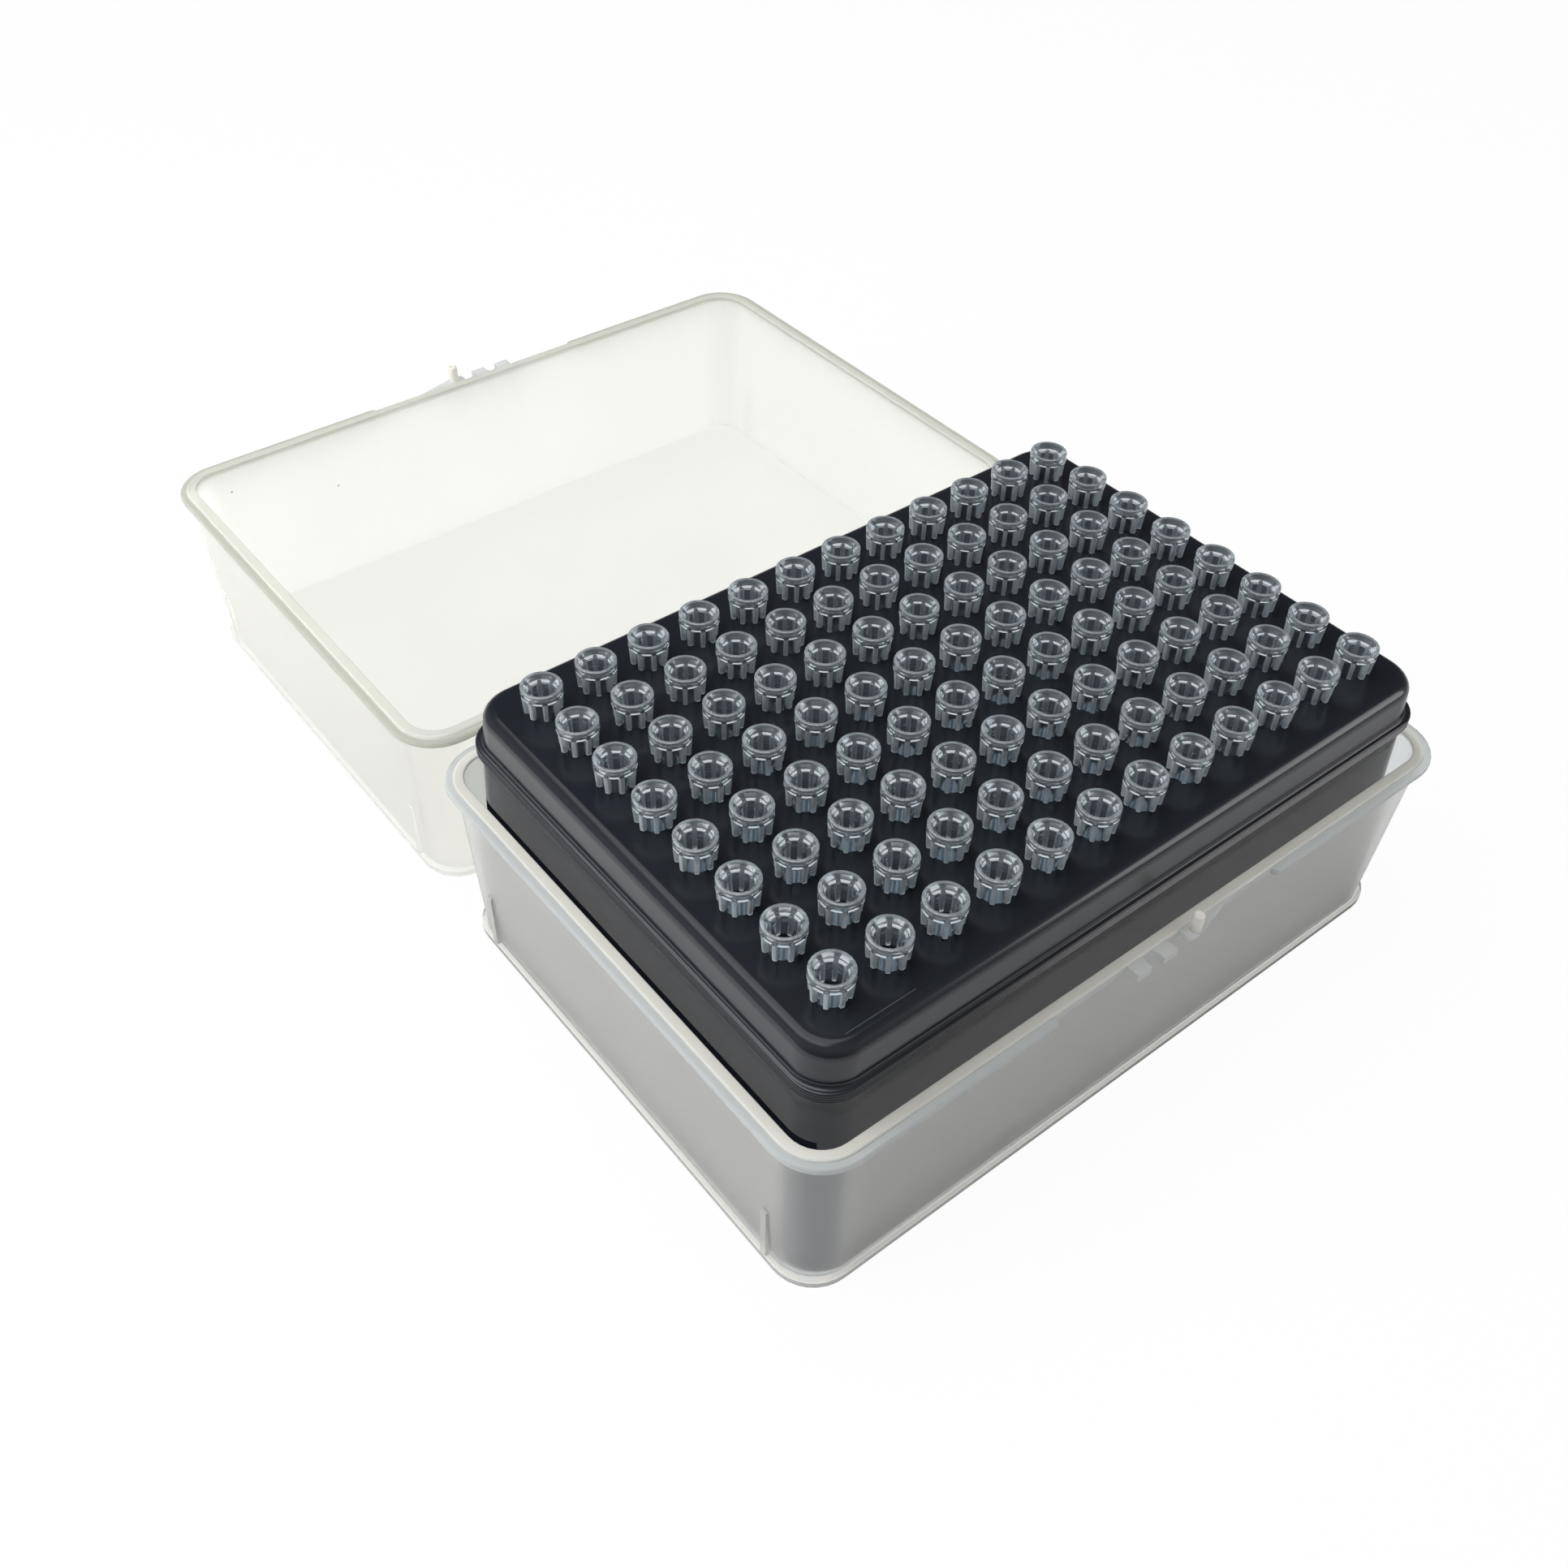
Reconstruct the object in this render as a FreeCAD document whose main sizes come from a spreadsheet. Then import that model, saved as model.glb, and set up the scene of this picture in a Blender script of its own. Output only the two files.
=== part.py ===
import FreeCAD, Part
import math
import os
import re
import Sketcher
from FreeCAD import Placement, Rotation, Vector

# A hinged box of 96 micro pipette tips. Two copies of one moulded half make the box: the base stands on
# the table, and the lid lies open behind it. The base holds a black rack with twelve columns of tips.
# Origin: middle of the base's underside. The latch looks to -Y and the lid lies to +Y. Millimetres.

doc = FreeCAD.newDocument("TipBox")
sheet = doc.addObject("Spreadsheet::Sheet", "Sizes")

sizes = {
    # moulded half
    "rimHeight": 32.0,
    "openingLength": 120.0,
    "openingWidth": 84.4,
    "openingCorner": 5.1,
    "wallThick": 1.5,
    "floorThick": 1.2,
    "wallDraft": 0.6,
    "footThick": 0.8,
    "flangeHeight": 1.15,
    "flangeReach": 0.7,
    "rimWidth": 1.7,
    "lipReach": 1.15,
    "lipDrop": 0.35,
    "lipHeight": 1.1,
    # wedge ribs low on the short sides
    "wedgePlace": 34.0,
    "wedgeWidth": 1.2,
    "wedgeTop": 11.6,
    "wedgeReach": 0.35,
    # latch
    "latchGap": 43.0,
    "latchDrop": 0.2,
    "latchReach": 2.1,
    "latchPlace": 4.2,
    "blockLength": 7.8,
    "blockThick": 1.4,
    "pegRadius": 0.9,
    "pegHeight": 3.0,
    "pegClearance": 0.3,
    "tabStart": 2.1,
    "tabEnd": 12.3,
    "tabThick": 0.8,
    "tabCorner": 0.9,
    # hinge
    "halvesGap": 2.3,
    "closedGap": 0.2,
    "hingePlace": 30.0,
    "hingePinRadius": 1.0,
    "hingeFit": 0.05,
    "knuckleRadius": 1.9,
    "earThick": 1.5,
    "clipLength": 6.4,
    "hingeSideClearance": 0.3,
    "hingeRoom": 1.6,
    "armDrop": 5.5,
    "clipMouth": 1.4,
    # rack
    "deckHeight": 45.5,
    "deckThick": 2.0,
    "rackEndGap": 2.8,
    "rackSideGap": 2.55,
    "deckCorner": 5.7,
    "deckChamfer": 1.2,
    "bandHeight": 6.1,
    "bandDraft": 0.3,
    "ledgeHeight": 1.8,
    "ledgeReach": 1.1,
    "skirtTopReach": 0.45,
    "skirtFootReach": 1.5,
    "rackWall": 1.5,
    # tips
    "tipPitch": 9.0,
    "tipColumns": 12,
    "tipRows": 8,
    "tipLength": 44.6,
    "collarHeight": 4.6,
    "collarRadius": 3.0,
    "ringHeight": 1.4,
    "grooveRadius": 2.35,
    "collarTaper": 0.9,
    "socketRadius": 2.0,
    "orificeRadius": 0.4,
    "socketClearance": 0.12,
}
for row, (name, value) in enumerate(sizes.items(), start=1):
    sheet.set(f"A{row}", name)
    sheet.set(f"B{row}", str(value))
    sheet.setAlias(f"B{row}", name)
doc.recompute()


def cells(formula):
    """The formula with each of the sheet's names turned into a reference to its cell."""
    return re.sub(r"[A-Za-z]+", lambda m: "Sizes." + m.group() if m.group() in sizes else m.group(), formula)


def bind(item, **formulas):
    """Tie properties of an object to formulas of the sheet's cells."""
    for prop, formula in formulas.items():
        item.setExpression(prop.replace("__", "."), cells(formula))


def originPlane(body, role):
    return next(item for item in body.Origin.OriginFeatures if item.Role == role)


def newSketch(body, name, plane, offset="0"):
    """An empty sketch on one of the body's own origin planes, moved along the plane's normal."""
    sketch = body.newObject("Sketcher::SketchObject", body.Label + name)
    sketch.AttachmentSupport = [(originPlane(body, plane), "")]
    sketch.MapMode = "FlatFace"
    sketch.setExpression("AttachmentOffset.Base.z", cells(offset))
    return sketch


def drive(sketch, formula, *constraint):
    """Add a dimension to a sketch, driven by the sheet."""
    index = sketch.addConstraint(Sketcher.Constraint(*constraint))
    sketch.setExpression(f"Constraints[{index}]", cells(formula))


def roundedOutline(sketch, halfX, halfY, corner):
    """A rectangle with rounded corners, centred on the sketch's origin."""
    # These first places are rough; the driven dimensions move them.
    x, y, r = 50.0, 40.0, 5.0
    lines = [((r - x, -y), (x - r, -y)), ((x, r - y), (x, y - r))]
    lines += [((x - r, y), (r - x, y)), ((-x, y - r), (-x, r - y))]
    centres = [(x - r, r - y, -90), (x - r, y - r, 0), (r - x, y - r, 90), (r - x, r - y, 180)]
    first = sketch.GeometryCount
    for (start, end), (cx, cy, turn) in zip(lines, centres):
        sketch.addGeometry(Part.LineSegment(Vector(*start, 0), Vector(*end, 0)))
        circle = Part.Circle(Vector(cx, cy, 0), Vector(0, 0, 1), r)
        sketch.addGeometry(Part.ArcOfCircle(circle, math.radians(turn), math.radians(turn + 90)))
    for k in range(4):
        line, arc, after = first + 2 * k, first + 2 * k + 1, first + (2 * k + 2) % 8
        sketch.addConstraint(Sketcher.Constraint("Tangent", line, 2, arc, 1))
        sketch.addConstraint(Sketcher.Constraint("Tangent", arc, 2, after, 1))
        sketch.addConstraint(Sketcher.Constraint("Vertical" if k % 2 else "Horizontal", line))
        if k:
            sketch.addConstraint(Sketcher.Constraint("Equal", first + 1, arc))
    drive(sketch, corner, "Radius", first + 1, r)
    drive(sketch, halfX, "DistanceX", -1, 1, first + 2, 1, x)
    drive(sketch, halfX, "DistanceX", first + 6, 1, -1, 1, x)
    drive(sketch, halfY, "DistanceY", -1, 1, first + 4, 1, y)
    drive(sketch, halfY, "DistanceY", first, 1, -1, 1, y)


def outline(sketch, *corners):
    """A closed outline of straight edges; every corner is a pair of formulas."""
    first = sketch.GeometryCount
    count = len(corners)
    # A rough ring of points, moved by the driven dimensions.
    turns = [math.tau * k / count for k in range(count)]
    guess = [Vector(20 * math.cos(turn), 20 * math.sin(turn), 0) for turn in turns]
    for k in range(count):
        sketch.addGeometry(Part.LineSegment(guess[k], guess[(k + 1) % count]))
    for k, (x, y) in enumerate(corners):
        sketch.addConstraint(Sketcher.Constraint("Coincident", first + k, 2, first + (k + 1) % count, 1))
        drive(sketch, x, "DistanceX", -1, 1, first + k, 1, guess[k].x)
        drive(sketch, y, "DistanceY", -1, 1, first + k, 1, guess[k].y)


def disc(sketch, x, y, radius):
    """A full circle."""
    index = sketch.addGeometry(Part.Circle(Vector(1, 1, 0), Vector(0, 0, 1), 1))
    drive(sketch, x, "DistanceX", -1, 1, index, 3, 1)
    drive(sketch, y, "DistanceY", -1, 1, index, 3, 1)
    drive(sketch, radius, "Radius", index, 1)


def feature(body, kind, name, sketch, length, **settings):
    """A pad or a pocket of a sketch; the settings are plain properties, such as Reversed or Midplane."""
    item = body.newObject("PartDesign::" + kind, body.Label + name)
    item.Profile = sketch
    bind(item, Length=length)
    for prop, value in settings.items():
        if isinstance(value, str):
            bind(item, **{prop: value})
        else:
            setattr(item, prop, value)
    sketch.Visibility = False
    return item


def loft(body, name, low, high, kind="Additive"):
    """A loft between two sketches; kind "Subtractive" cuts it away."""
    item = body.newObject(f"PartDesign::{kind}Loft", body.Label + name)
    item.Profile = low
    item.Sections = [high]
    item.Ruled = True
    return item


def newBody(label):
    body = doc.addObject("PartDesign::Body", label)
    body.Label = label
    return body


# ---- the moulded half ----

hingeY = "(openingWidth / 2 + rimWidth + lipReach + halvesGap / 2)"
hingeZ = "(rimHeight + closedGap / 2)"
rimY = "(openingWidth / 2 + rimWidth)"
pegY = "(openingWidth / 2 + rimWidth + latchReach / 2)"
blockY = "(openingWidth / 2 + rimWidth + latchReach)"
insideWall = "(openingWidth / 2 + wallThick / 2)"
footReach = "(footThick - wallDraft)"
hingeSpan = "(clipLength + 2 * hingeSideClearance + 2 * earThick)"


def trayOutline(body, name, height, reach):
    """An outline of the half at one height; the reach is what it stands out past the opening's edge."""
    sketch = newSketch(body, name, "XY_Plane", height)
    halfX, halfY = f"openingLength / 2 + {reach}", f"openingWidth / 2 + {reach}"
    roundedOutline(sketch, halfX, halfY, "openingCorner + rimWidth")
    return sketch


def mouldTray(body):
    """The drafted tray with its foot flange, flat rim and outer lip."""
    flange = trayOutline(body, "FlangeSketch", "0", footReach + " + flangeReach")
    feature(body, "Pad", "Flange", flange, "flangeHeight")
    foot = trayOutline(body, "FootSketch", "flangeHeight", footReach)
    loft(body, "Wall", foot, trayOutline(body, "WallSketch", "rimHeight", "wallThick"))
    rim = trayOutline(body, "RimSketch", "rimHeight", "rimWidth")
    feature(body, "Pad", "Rim", rim, "lipDrop + lipHeight", Reversed=True)
    lip = trayOutline(body, "LipSketch", "rimHeight - lipDrop", "rimWidth + lipReach")
    feature(body, "Pad", "Lip", lip, "lipHeight", Reversed=True)
    gaps = newSketch(body, "LipGapSketch", "XY_Plane", "rimHeight - lipDrop")
    outer = "(openingWidth / 2 + rimWidth + 2 * lipReach)"
    left, right, inner = "-latchGap / 2", "latchGap / 2", "-" + rimY
    outline(gaps, (left, "-" + outer), (right, "-" + outer), (right, inner), (left, inner))
    for side in ("-", ""):
        near = f"{side}(hingePlace - {hingeSpan} / 2 - hingeRoom)"
        far = f"{side}(hingePlace + {hingeSpan} / 2 + hingeRoom)"
        outline(gaps, (near, rimY), (far, rimY), (far, outer), (near, outer))
    feature(body, "Pocket", "LipGap", gaps, "lipHeight")
    floor = newSketch(body, "FloorSketch", "XY_Plane", "floorThick")
    mouth = newSketch(body, "OpeningSketch", "XY_Plane", "rimHeight")
    for sketch, inset in ((floor, "wallDraft * (1 - floorThick / rimHeight)"), (mouth, "0")):
        halfX, halfY = f"openingLength / 2 - {inset}", f"openingWidth / 2 - {inset}"
        roundedOutline(sketch, halfX, halfY, "openingCorner")
    loft(body, "Opening", floor, mouth, kind="Subtractive")


def mouldWedges(body):
    """Four small wedge ribs, low on the short sides, that stand on the flange."""
    sketch = newSketch(body, "WedgeSketch", "XZ_Plane", "wedgePlace")
    rise = "(wedgeTop - flangeHeight) / (rimHeight - flangeHeight)"
    wallReach = f"{footReach} + (wallThick - {footReach}) * {rise}"
    for side in ("-", ""):
        inner = f"{side}(openingLength / 2 + footThick / 2 - wallDraft)"
        low = f"{side}(openingLength / 2 + {footReach} + flangeReach)"
        high = f"{side}(openingLength / 2 + {wallReach} + wedgeReach)"
        foot, top = "flangeHeight", "wedgeTop"
        outline(sketch, (inner, foot), (low, foot), (high, top), (inner, top))
    wedge = feature(body, "Pad", "Wedge", sketch, "wedgeWidth", Midplane=True)
    mirror = body.newObject("PartDesign::Mirrored", body.Label + "WedgeMirror")
    mirror.Originals = [wedge]
    mirror.MirrorPlane = (originPlane(body, "XZ_Plane"), [""])
    body.Tip = mirror


def mouldLatch(body):
    """A notched block and a tab with a peg; the peg snaps into the other half's notch."""
    top = "rimHeight - latchDrop"
    block = newSketch(body, "BlockSketch", "XY_Plane", top)
    start, end = "-(latchPlace + blockLength / 2)", "-(latchPlace - blockLength / 2)"
    root, face = "-" + insideWall, "-" + blockY
    outline(block, (start, root), (start, face), (end, face), (end, root))
    feature(body, "Pad", "Block", block, "blockThick", Reversed=True)
    notch = newSketch(body, "NotchSketch", "XY_Plane", top)
    disc(notch, "-latchPlace", "-" + pegY, "pegRadius + pegClearance")
    feature(body, "Pocket", "Notch", notch, "blockThick")
    mouth = newSketch(body, "MouthSketch", "XY_Plane", top)
    left, right = "-(latchPlace + pegRadius + pegClearance)", "-(latchPlace - pegRadius - pegClearance)"
    outline(mouth, (left, "-" + pegY), (left, face), (right, face), (right, "-" + pegY))
    feature(body, "Pocket", "Mouth", mouth, "blockThick")
    tab = newSketch(body, "TabSketch", "XY_Plane", top)
    outline(
        tab,
        ("tabStart", root),
        ("tabStart", face + " + tabCorner"),
        ("tabStart + tabCorner", face),
        ("latchPlace", face),
        ("tabEnd", "-" + rimY),
        ("tabEnd", root),
    )
    feature(body, "Pad", "Tab", tab, "tabThick", Reversed=True)
    peg = newSketch(body, "PegSketch", "XY_Plane", top + " - tabThick")
    disc(peg, "latchPlace", "-" + pegY, "pegRadius")
    feature(body, "Pad", "Peg", peg, "tabThick + pegHeight")


def knuckleProfile(sketch):
    """The side view of a hinge knuckle: an arm out of the wall that ends round about the hinge axis."""
    # Rough first places, moved by the driven dimensions.
    y, z, r = 46.0, 32.0, 1.9
    arm = sketch.addGeometry(Part.LineSegment(Vector(43, 26, 0), Vector(47.5, 30.5, 0)))
    circle = Part.Circle(Vector(y, z, 0), Vector(0, 0, 1), r)
    nose = sketch.addGeometry(Part.ArcOfCircle(circle, math.radians(-45), math.radians(180)))
    back = sketch.addGeometry(Part.LineSegment(Vector(y - r, z, 0), Vector(y - r, 31, 0)))
    top = sketch.addGeometry(Part.LineSegment(Vector(y - r, 31, 0), Vector(43, 31, 0)))
    root = sketch.addGeometry(Part.LineSegment(Vector(43, 31, 0), Vector(43, 26, 0)))
    joins = [("Tangent", arm, 2, nose, 1), ("Tangent", nose, 2, back, 1)]
    joins += [("Coincident", *ends) for ends in ((back, 2, top, 1), (top, 2, root, 1), (root, 2, arm, 1))]
    joins += [("Vertical", back), ("Horizontal", top), ("Vertical", root)]
    for join in joins:
        sketch.addConstraint(Sketcher.Constraint(*join))
    drive(sketch, hingeY, "DistanceX", -1, 1, nose, 3, y)
    drive(sketch, hingeZ, "DistanceY", -1, 1, nose, 3, z)
    drive(sketch, "knuckleRadius", "Radius", nose, r)
    drive(sketch, insideWall, "DistanceX", -1, 1, arm, 1, 43)
    drive(sketch, "rimHeight - armDrop", "DistanceY", -1, 1, arm, 1, 26)
    drive(sketch, "rimHeight - lipDrop", "DistanceY", -1, 1, top, 2, 31)


def mouldHinge(body):
    """Two ears with a pin on one side; on the other, a clip that grips the other half's pin."""
    earInner = "(clipLength / 2 + hingeSideClearance)"
    ears = {"EarA": f"hingePlace - {earInner} - earThick", "EarB": f"hingePlace + {earInner}"}
    for name, place in ears.items():
        ear = newSketch(body, name + "Sketch", "YZ_Plane", place)
        knuckleProfile(ear)
        feature(body, "Pad", name, ear, "earThick")
    pin = newSketch(body, "PinSketch", "YZ_Plane", f"hingePlace - {earInner} - earThick / 2")
    disc(pin, hingeY, hingeZ, "hingePinRadius")
    feature(body, "Pad", "Pin", pin, f"2 * {earInner} + earThick")
    clip = newSketch(body, "ClipSketch", "YZ_Plane", "-(hingePlace + clipLength / 2)")
    knuckleProfile(clip)
    feature(body, "Pad", "Clip", clip, "clipLength")
    seat = newSketch(body, "SeatSketch", "YZ_Plane", "-(hingePlace + clipLength / 2)")
    disc(seat, hingeY, hingeZ, "hingePinRadius + hingeFit")
    feature(body, "Pocket", "Seat", seat, "clipLength", Reversed=True)
    mouth = newSketch(body, "ClipMouthSketch", "YZ_Plane", "-(hingePlace + clipLength / 2)")
    near, far = f"{hingeY} - clipMouth / 2", f"{hingeY} + clipMouth / 2"
    above = f"{hingeZ} + 2 * knuckleRadius"
    outline(mouth, (near, hingeZ), (far, hingeZ), (far, above), (near, above))
    feature(body, "Pocket", "ClipMouth", mouth, "clipLength", Reversed=True)


def mouldHalf(label):
    body = newBody(label)
    mouldTray(body)
    mouldWedges(body)
    mouldLatch(body)
    mouldHinge(body)
    return body


baseBox = mouldHalf("base_box")

# The lid lies open: turned half round, it shares the hinge axis with the base.
lid = mouldHalf("lid")
lid.Placement = Placement(Vector(0, 0, 0), Rotation(Vector(0, 0, 1), 180))
lid.setExpression("Placement.Base.y", cells("2 * " + hingeY))


# ---- the rack ----

# The tips have this many ribs; the sockets are square and turned so that all the ribs stand on the deck.
ribCount = 8


def mouldRack():
    """A perforated deck with a rounded band, a ledge and a long skirt that stands on the base's floor."""
    body = newBody("rack_insert")
    deckX = "(openingLength / 2 - rackEndGap)"
    deckY = "(openingWidth / 2 - rackSideGap)"
    ledgeTop = "(deckHeight - bandHeight)"
    ledgeBottom = "(deckHeight - bandHeight - ledgeHeight)"

    def level(name, height, reach):
        """The rack's outline at one height; the reach is what it stands out past the deck's edge."""
        sketch = newSketch(body, name, "XY_Plane", height)
        roundedOutline(sketch, f"{deckX} + {reach}", f"{deckY} + {reach}", "deckCorner")
        return sketch

    below = level("BandSketch", ledgeTop, "bandDraft")
    shoulder = level("ShoulderSketch", "deckHeight - deckChamfer", "0")
    loft(body, "Band", below, shoulder)
    loft(body, "Edge", shoulder, level("DeckSketch", "deckHeight", "-deckChamfer"))
    feature(body, "Pad", "Ledge", level("LedgeSketch", ledgeTop, "ledgeReach"), "ledgeHeight", Reversed=True)
    skirtLow = level("SkirtLowSketch", "floorThick", "skirtFootReach")
    loft(body, "Skirt", skirtLow, level("SkirtHighSketch", ledgeBottom, "skirtTopReach"))
    hollowLow = level("HollowLowSketch", "floorThick", "(skirtFootReach - rackWall)")
    hollowHigh = level("HollowHighSketch", "deckHeight - deckThick", "(-rackWall)")
    loft(body, "Hollow", hollowLow, hollowHigh, kind="Subtractive")
    hole = newSketch(body, "HoleSketch", "XY_Plane", "deckHeight")
    reach = "(grooveRadius * collarTaper + socketClearance)"
    x, y = "-(tipColumns - 1) / 2 * tipPitch", "-(tipRows - 1) / 2 * tipPitch"
    turns = [360 / ribCount * (2 * k + 0.5) for k in range(4)]
    outline(hole, *[(f"{x} + {reach} * cos({t} deg)", f"{y} + {reach} * sin({t} deg)") for t in turns])
    socket = feature(body, "Pocket", "Socket", hole, "deckThick")
    sockets = body.newObject("PartDesign::LinearPattern", body.Label + "Sockets")
    sockets.Originals = [socket]
    sockets.Direction = (hole, ["H_Axis"])
    sockets.Direction2 = (hole, ["V_Axis"])
    bind(sockets, Length="(tipColumns - 1) * tipPitch", Length2="(tipRows - 1) * tipPitch")
    bind(sockets, Occurrences="tipColumns", Occurrences2="tipRows")
    body.Tip = sockets
    return body


rackInsert = mouldRack()


# ---- the tips ----

def ringOf(radius, height, count, inner=None, turned=0.0):
    """Points about the Z axis: an even polygon, or a star if an inner radius is given."""
    points = []
    for k in range(count):
        turn = turned + 2 * math.pi * k / count
        points.append(Vector(radius * math.cos(turn), radius * math.sin(turn), height))
        if inner:
            turn += math.pi / count
            points.append(Vector(inner * math.cos(turn), inner * math.sin(turn), height))
    return points


def solidOf(loops):
    """A solid closed by flat faces, one for each loop of points."""
    solid = Part.Solid(Part.Shell([Part.Face(Part.makePolygon(loop + loop[:1])) for loop in loops]))
    if solid.Volume < 0:
        solid.reverse()
    return solid


def flatSided(low, high):
    """A solid with flat sides between two rings of as many points."""
    return solidOf([low, high] + [[low[k - 1], low[k], high[k], high[k - 1]] for k in range(len(low))])


def fluted(star, polygon):
    """A solid whose flutes grow from a polygon's straight edges down to a star."""
    loops = [star, polygon]
    for k in range(len(polygon)):
        ridge, valley, nextRidge = star[2 * k - 2], star[2 * k - 1], star[2 * k]
        top, nextTop = polygon[k - 1], polygon[k]
        loops += [[ridge, valley, top], [valley, nextTop, top], [valley, nextRidge, nextTop]]
    return solidOf(loops)


def tipShape():
    """One tip with its collar's top at zero: plain ring, eight ribs, tapered tube and a through bore."""
    ringEnd, ribEnd, end = (-sheet.get(name) for name in ("ringHeight", "collarHeight", "tipLength"))
    outer, taper = sheet.get("collarRadius"), sheet.get("collarTaper")
    groove = sheet.get("grooveRadius") * taper
    turned = math.pi / ribCount
    ring = flatSided(ringOf(outer, ringEnd, ribCount), ringOf(outer, 0.0, ribCount))
    ribs = fluted(ringOf(outer * taper, ribEnd, ribCount, groove), ringOf(outer, ringEnd, ribCount))
    orifice = ringOf(sheet.get("orificeRadius"), end, 4, turned=turned)
    tube = flatSided(orifice, ringOf(groove, ribEnd, 4, turned=turned))
    bore = flatSided(orifice, ringOf(sheet.get("socketRadius"), 0.0, 4, turned=turned))
    return ring.fuse([ribs, tube]).cut(bore)


tip = tipShape()
pitch, rows = sheet.get("tipPitch"), int(sheet.get("tipRows"))
rowPlaces = [(row - (rows - 1) / 2) * pitch for row in range(rows)]
columns = []
for number in range(1, int(sheet.get("tipColumns")) + 1):
    column = doc.addObject("Part::Feature", f"tips_column_{number:02d}")
    column.Label = column.Name
    column.Shape = Part.makeCompound([tip.translated(Vector(0, y, 0)) for y in rowPlaces])
    column.Placement = Placement()
    bind(column, Placement__Base__x=f"({number} - (tipColumns + 1) / 2) * tipPitch")
    bind(column, Placement__Base__z="deckHeight + collarHeight")
    columns.append(column)

doc.recompute()

parts = [baseBox, lid, rackInsert] + columns
for item in doc.Objects:
    if {"Invalid", "Error"} & set(item.State):
        raise RuntimeError(f"{item.Label} could not be built: {item.State}")
for item in parts:
    pieces = rows if item in columns else 1
    if item.Shape.isNull() or not item.Shape.isValid() or len(item.Shape.Solids) != pieces:
        raise RuntimeError(f"{item.Label} has no valid shape")

os.makedirs("parts", exist_ok=True)
for item in parts:
    item.Shape.exportStep(f"parts/{item.Label}.step")
    print(item.Label, len(item.Shape.Solids), "solid(s)", round(item.Shape.Volume, 1), "mm3")
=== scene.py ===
import math

import bmesh
import bpy
from mathutils import Matrix, Vector


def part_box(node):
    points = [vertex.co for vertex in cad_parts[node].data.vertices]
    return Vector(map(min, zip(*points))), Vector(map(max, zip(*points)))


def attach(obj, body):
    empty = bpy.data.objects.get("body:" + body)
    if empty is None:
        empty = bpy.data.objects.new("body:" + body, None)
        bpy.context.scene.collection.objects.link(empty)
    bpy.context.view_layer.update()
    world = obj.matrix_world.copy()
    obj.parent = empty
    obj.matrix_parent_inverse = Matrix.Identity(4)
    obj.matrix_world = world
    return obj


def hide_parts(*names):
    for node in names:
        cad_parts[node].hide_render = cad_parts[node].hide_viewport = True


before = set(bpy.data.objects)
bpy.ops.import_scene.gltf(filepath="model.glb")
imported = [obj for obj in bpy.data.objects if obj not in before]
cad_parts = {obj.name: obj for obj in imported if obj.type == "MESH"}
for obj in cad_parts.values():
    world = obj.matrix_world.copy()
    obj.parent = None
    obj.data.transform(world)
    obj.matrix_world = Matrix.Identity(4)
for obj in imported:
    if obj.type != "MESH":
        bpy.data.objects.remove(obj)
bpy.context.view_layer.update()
mm = 0.001
print("frame loaded with", len(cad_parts), "nodes")


def cornersOf(node):
    low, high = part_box(node)
    return Vector(low) / mm, Vector(high) / mm


baseLow, baseHigh = cornersOf("base_box")
rackLow, rackHigh = cornersOf("rack_insert")
lidPlace = cornersOf("lid")[1].y + baseLow.y  # the open lid's middle along y
tipNodes = sorted(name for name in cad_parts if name.startswith("tips_column"))
tipLow, tipHigh = cornersOf(tipNodes[0])
lastTipLow, lastTipHigh = cornersOf(tipNodes[-1])


# the camera
view = {
    "place": (-131.45, -119.95, 197.1),
    "aim": (-28.25, 3.95, 40.0),
    "roll": 1.95,
    "lens": 37.18,
    "sensor": 36.0,
    "nearest": 0.01,
}
cameraData = bpy.data.cameras.new("camera")
cameraData.lens = view["lens"]
cameraData.sensor_width = view["sensor"]
cameraData.clip_start = view["nearest"]
camera = bpy.data.objects.new("camera", cameraData)
bpy.context.collection.objects.link(camera)
camera.location = Vector(view["place"]) * mm
gaze = (Vector(view["aim"]) - Vector(view["place"])).to_track_quat("-Z", "Y").to_matrix()
camera.rotation_euler = (gaze @ Matrix.Rotation(math.radians(view["roll"]), 3, "Z")).to_euler()

scene = bpy.context.scene
scene.camera = camera
scene.view_settings.view_transform = "Standard"


# short ways to build node trees; each value is a number, a tuple or another node's socket
def addNode(tree, kind, inputs=(), **settings):
    node = tree.nodes.new(kind)
    for name, value in settings.items():
        setattr(node, name, value)
    for name, value in dict(inputs).items():
        socket = node.inputs[name]
        if isinstance(value, bpy.types.NodeSocket):
            tree.links.new(value, socket)
        else:
            socket.default_value = value
    return node


def maths(tree, operation, *values):
    return addNode(tree, "ShaderNodeMath", dict(enumerate(values)), operation=operation).outputs[0]


def ranged(tree, value, low, high, start=0.0, end=1.0, **settings):
    # low at start and high at end
    inputs = {"Value": value, "From Min": start, "From Max": end, "To Min": low, "To Max": high}
    return addNode(tree, "ShaderNodeMapRange", inputs, **settings).outputs[0]


def mixColours(tree, share, near, far, blend="MIX"):
    inputs = {0: share, "A": near, "B": far}
    return addNode(tree, "ShaderNodeMix", inputs, data_type="RGBA", blend_type=blend).outputs["Result"]


def noise(tree, place, scale, detail):
    inputs = {"Vector": place, "Scale": scale, "Detail": detail}
    return addNode(tree, "ShaderNodeTexNoise", inputs).outputs["Fac"]


def relief(tree, height, strength, distance):
    inputs = {"Strength": strength, "Distance": distance, "Height": height}
    return addNode(tree, "ShaderNodeBump", inputs).outputs["Normal"]


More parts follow.
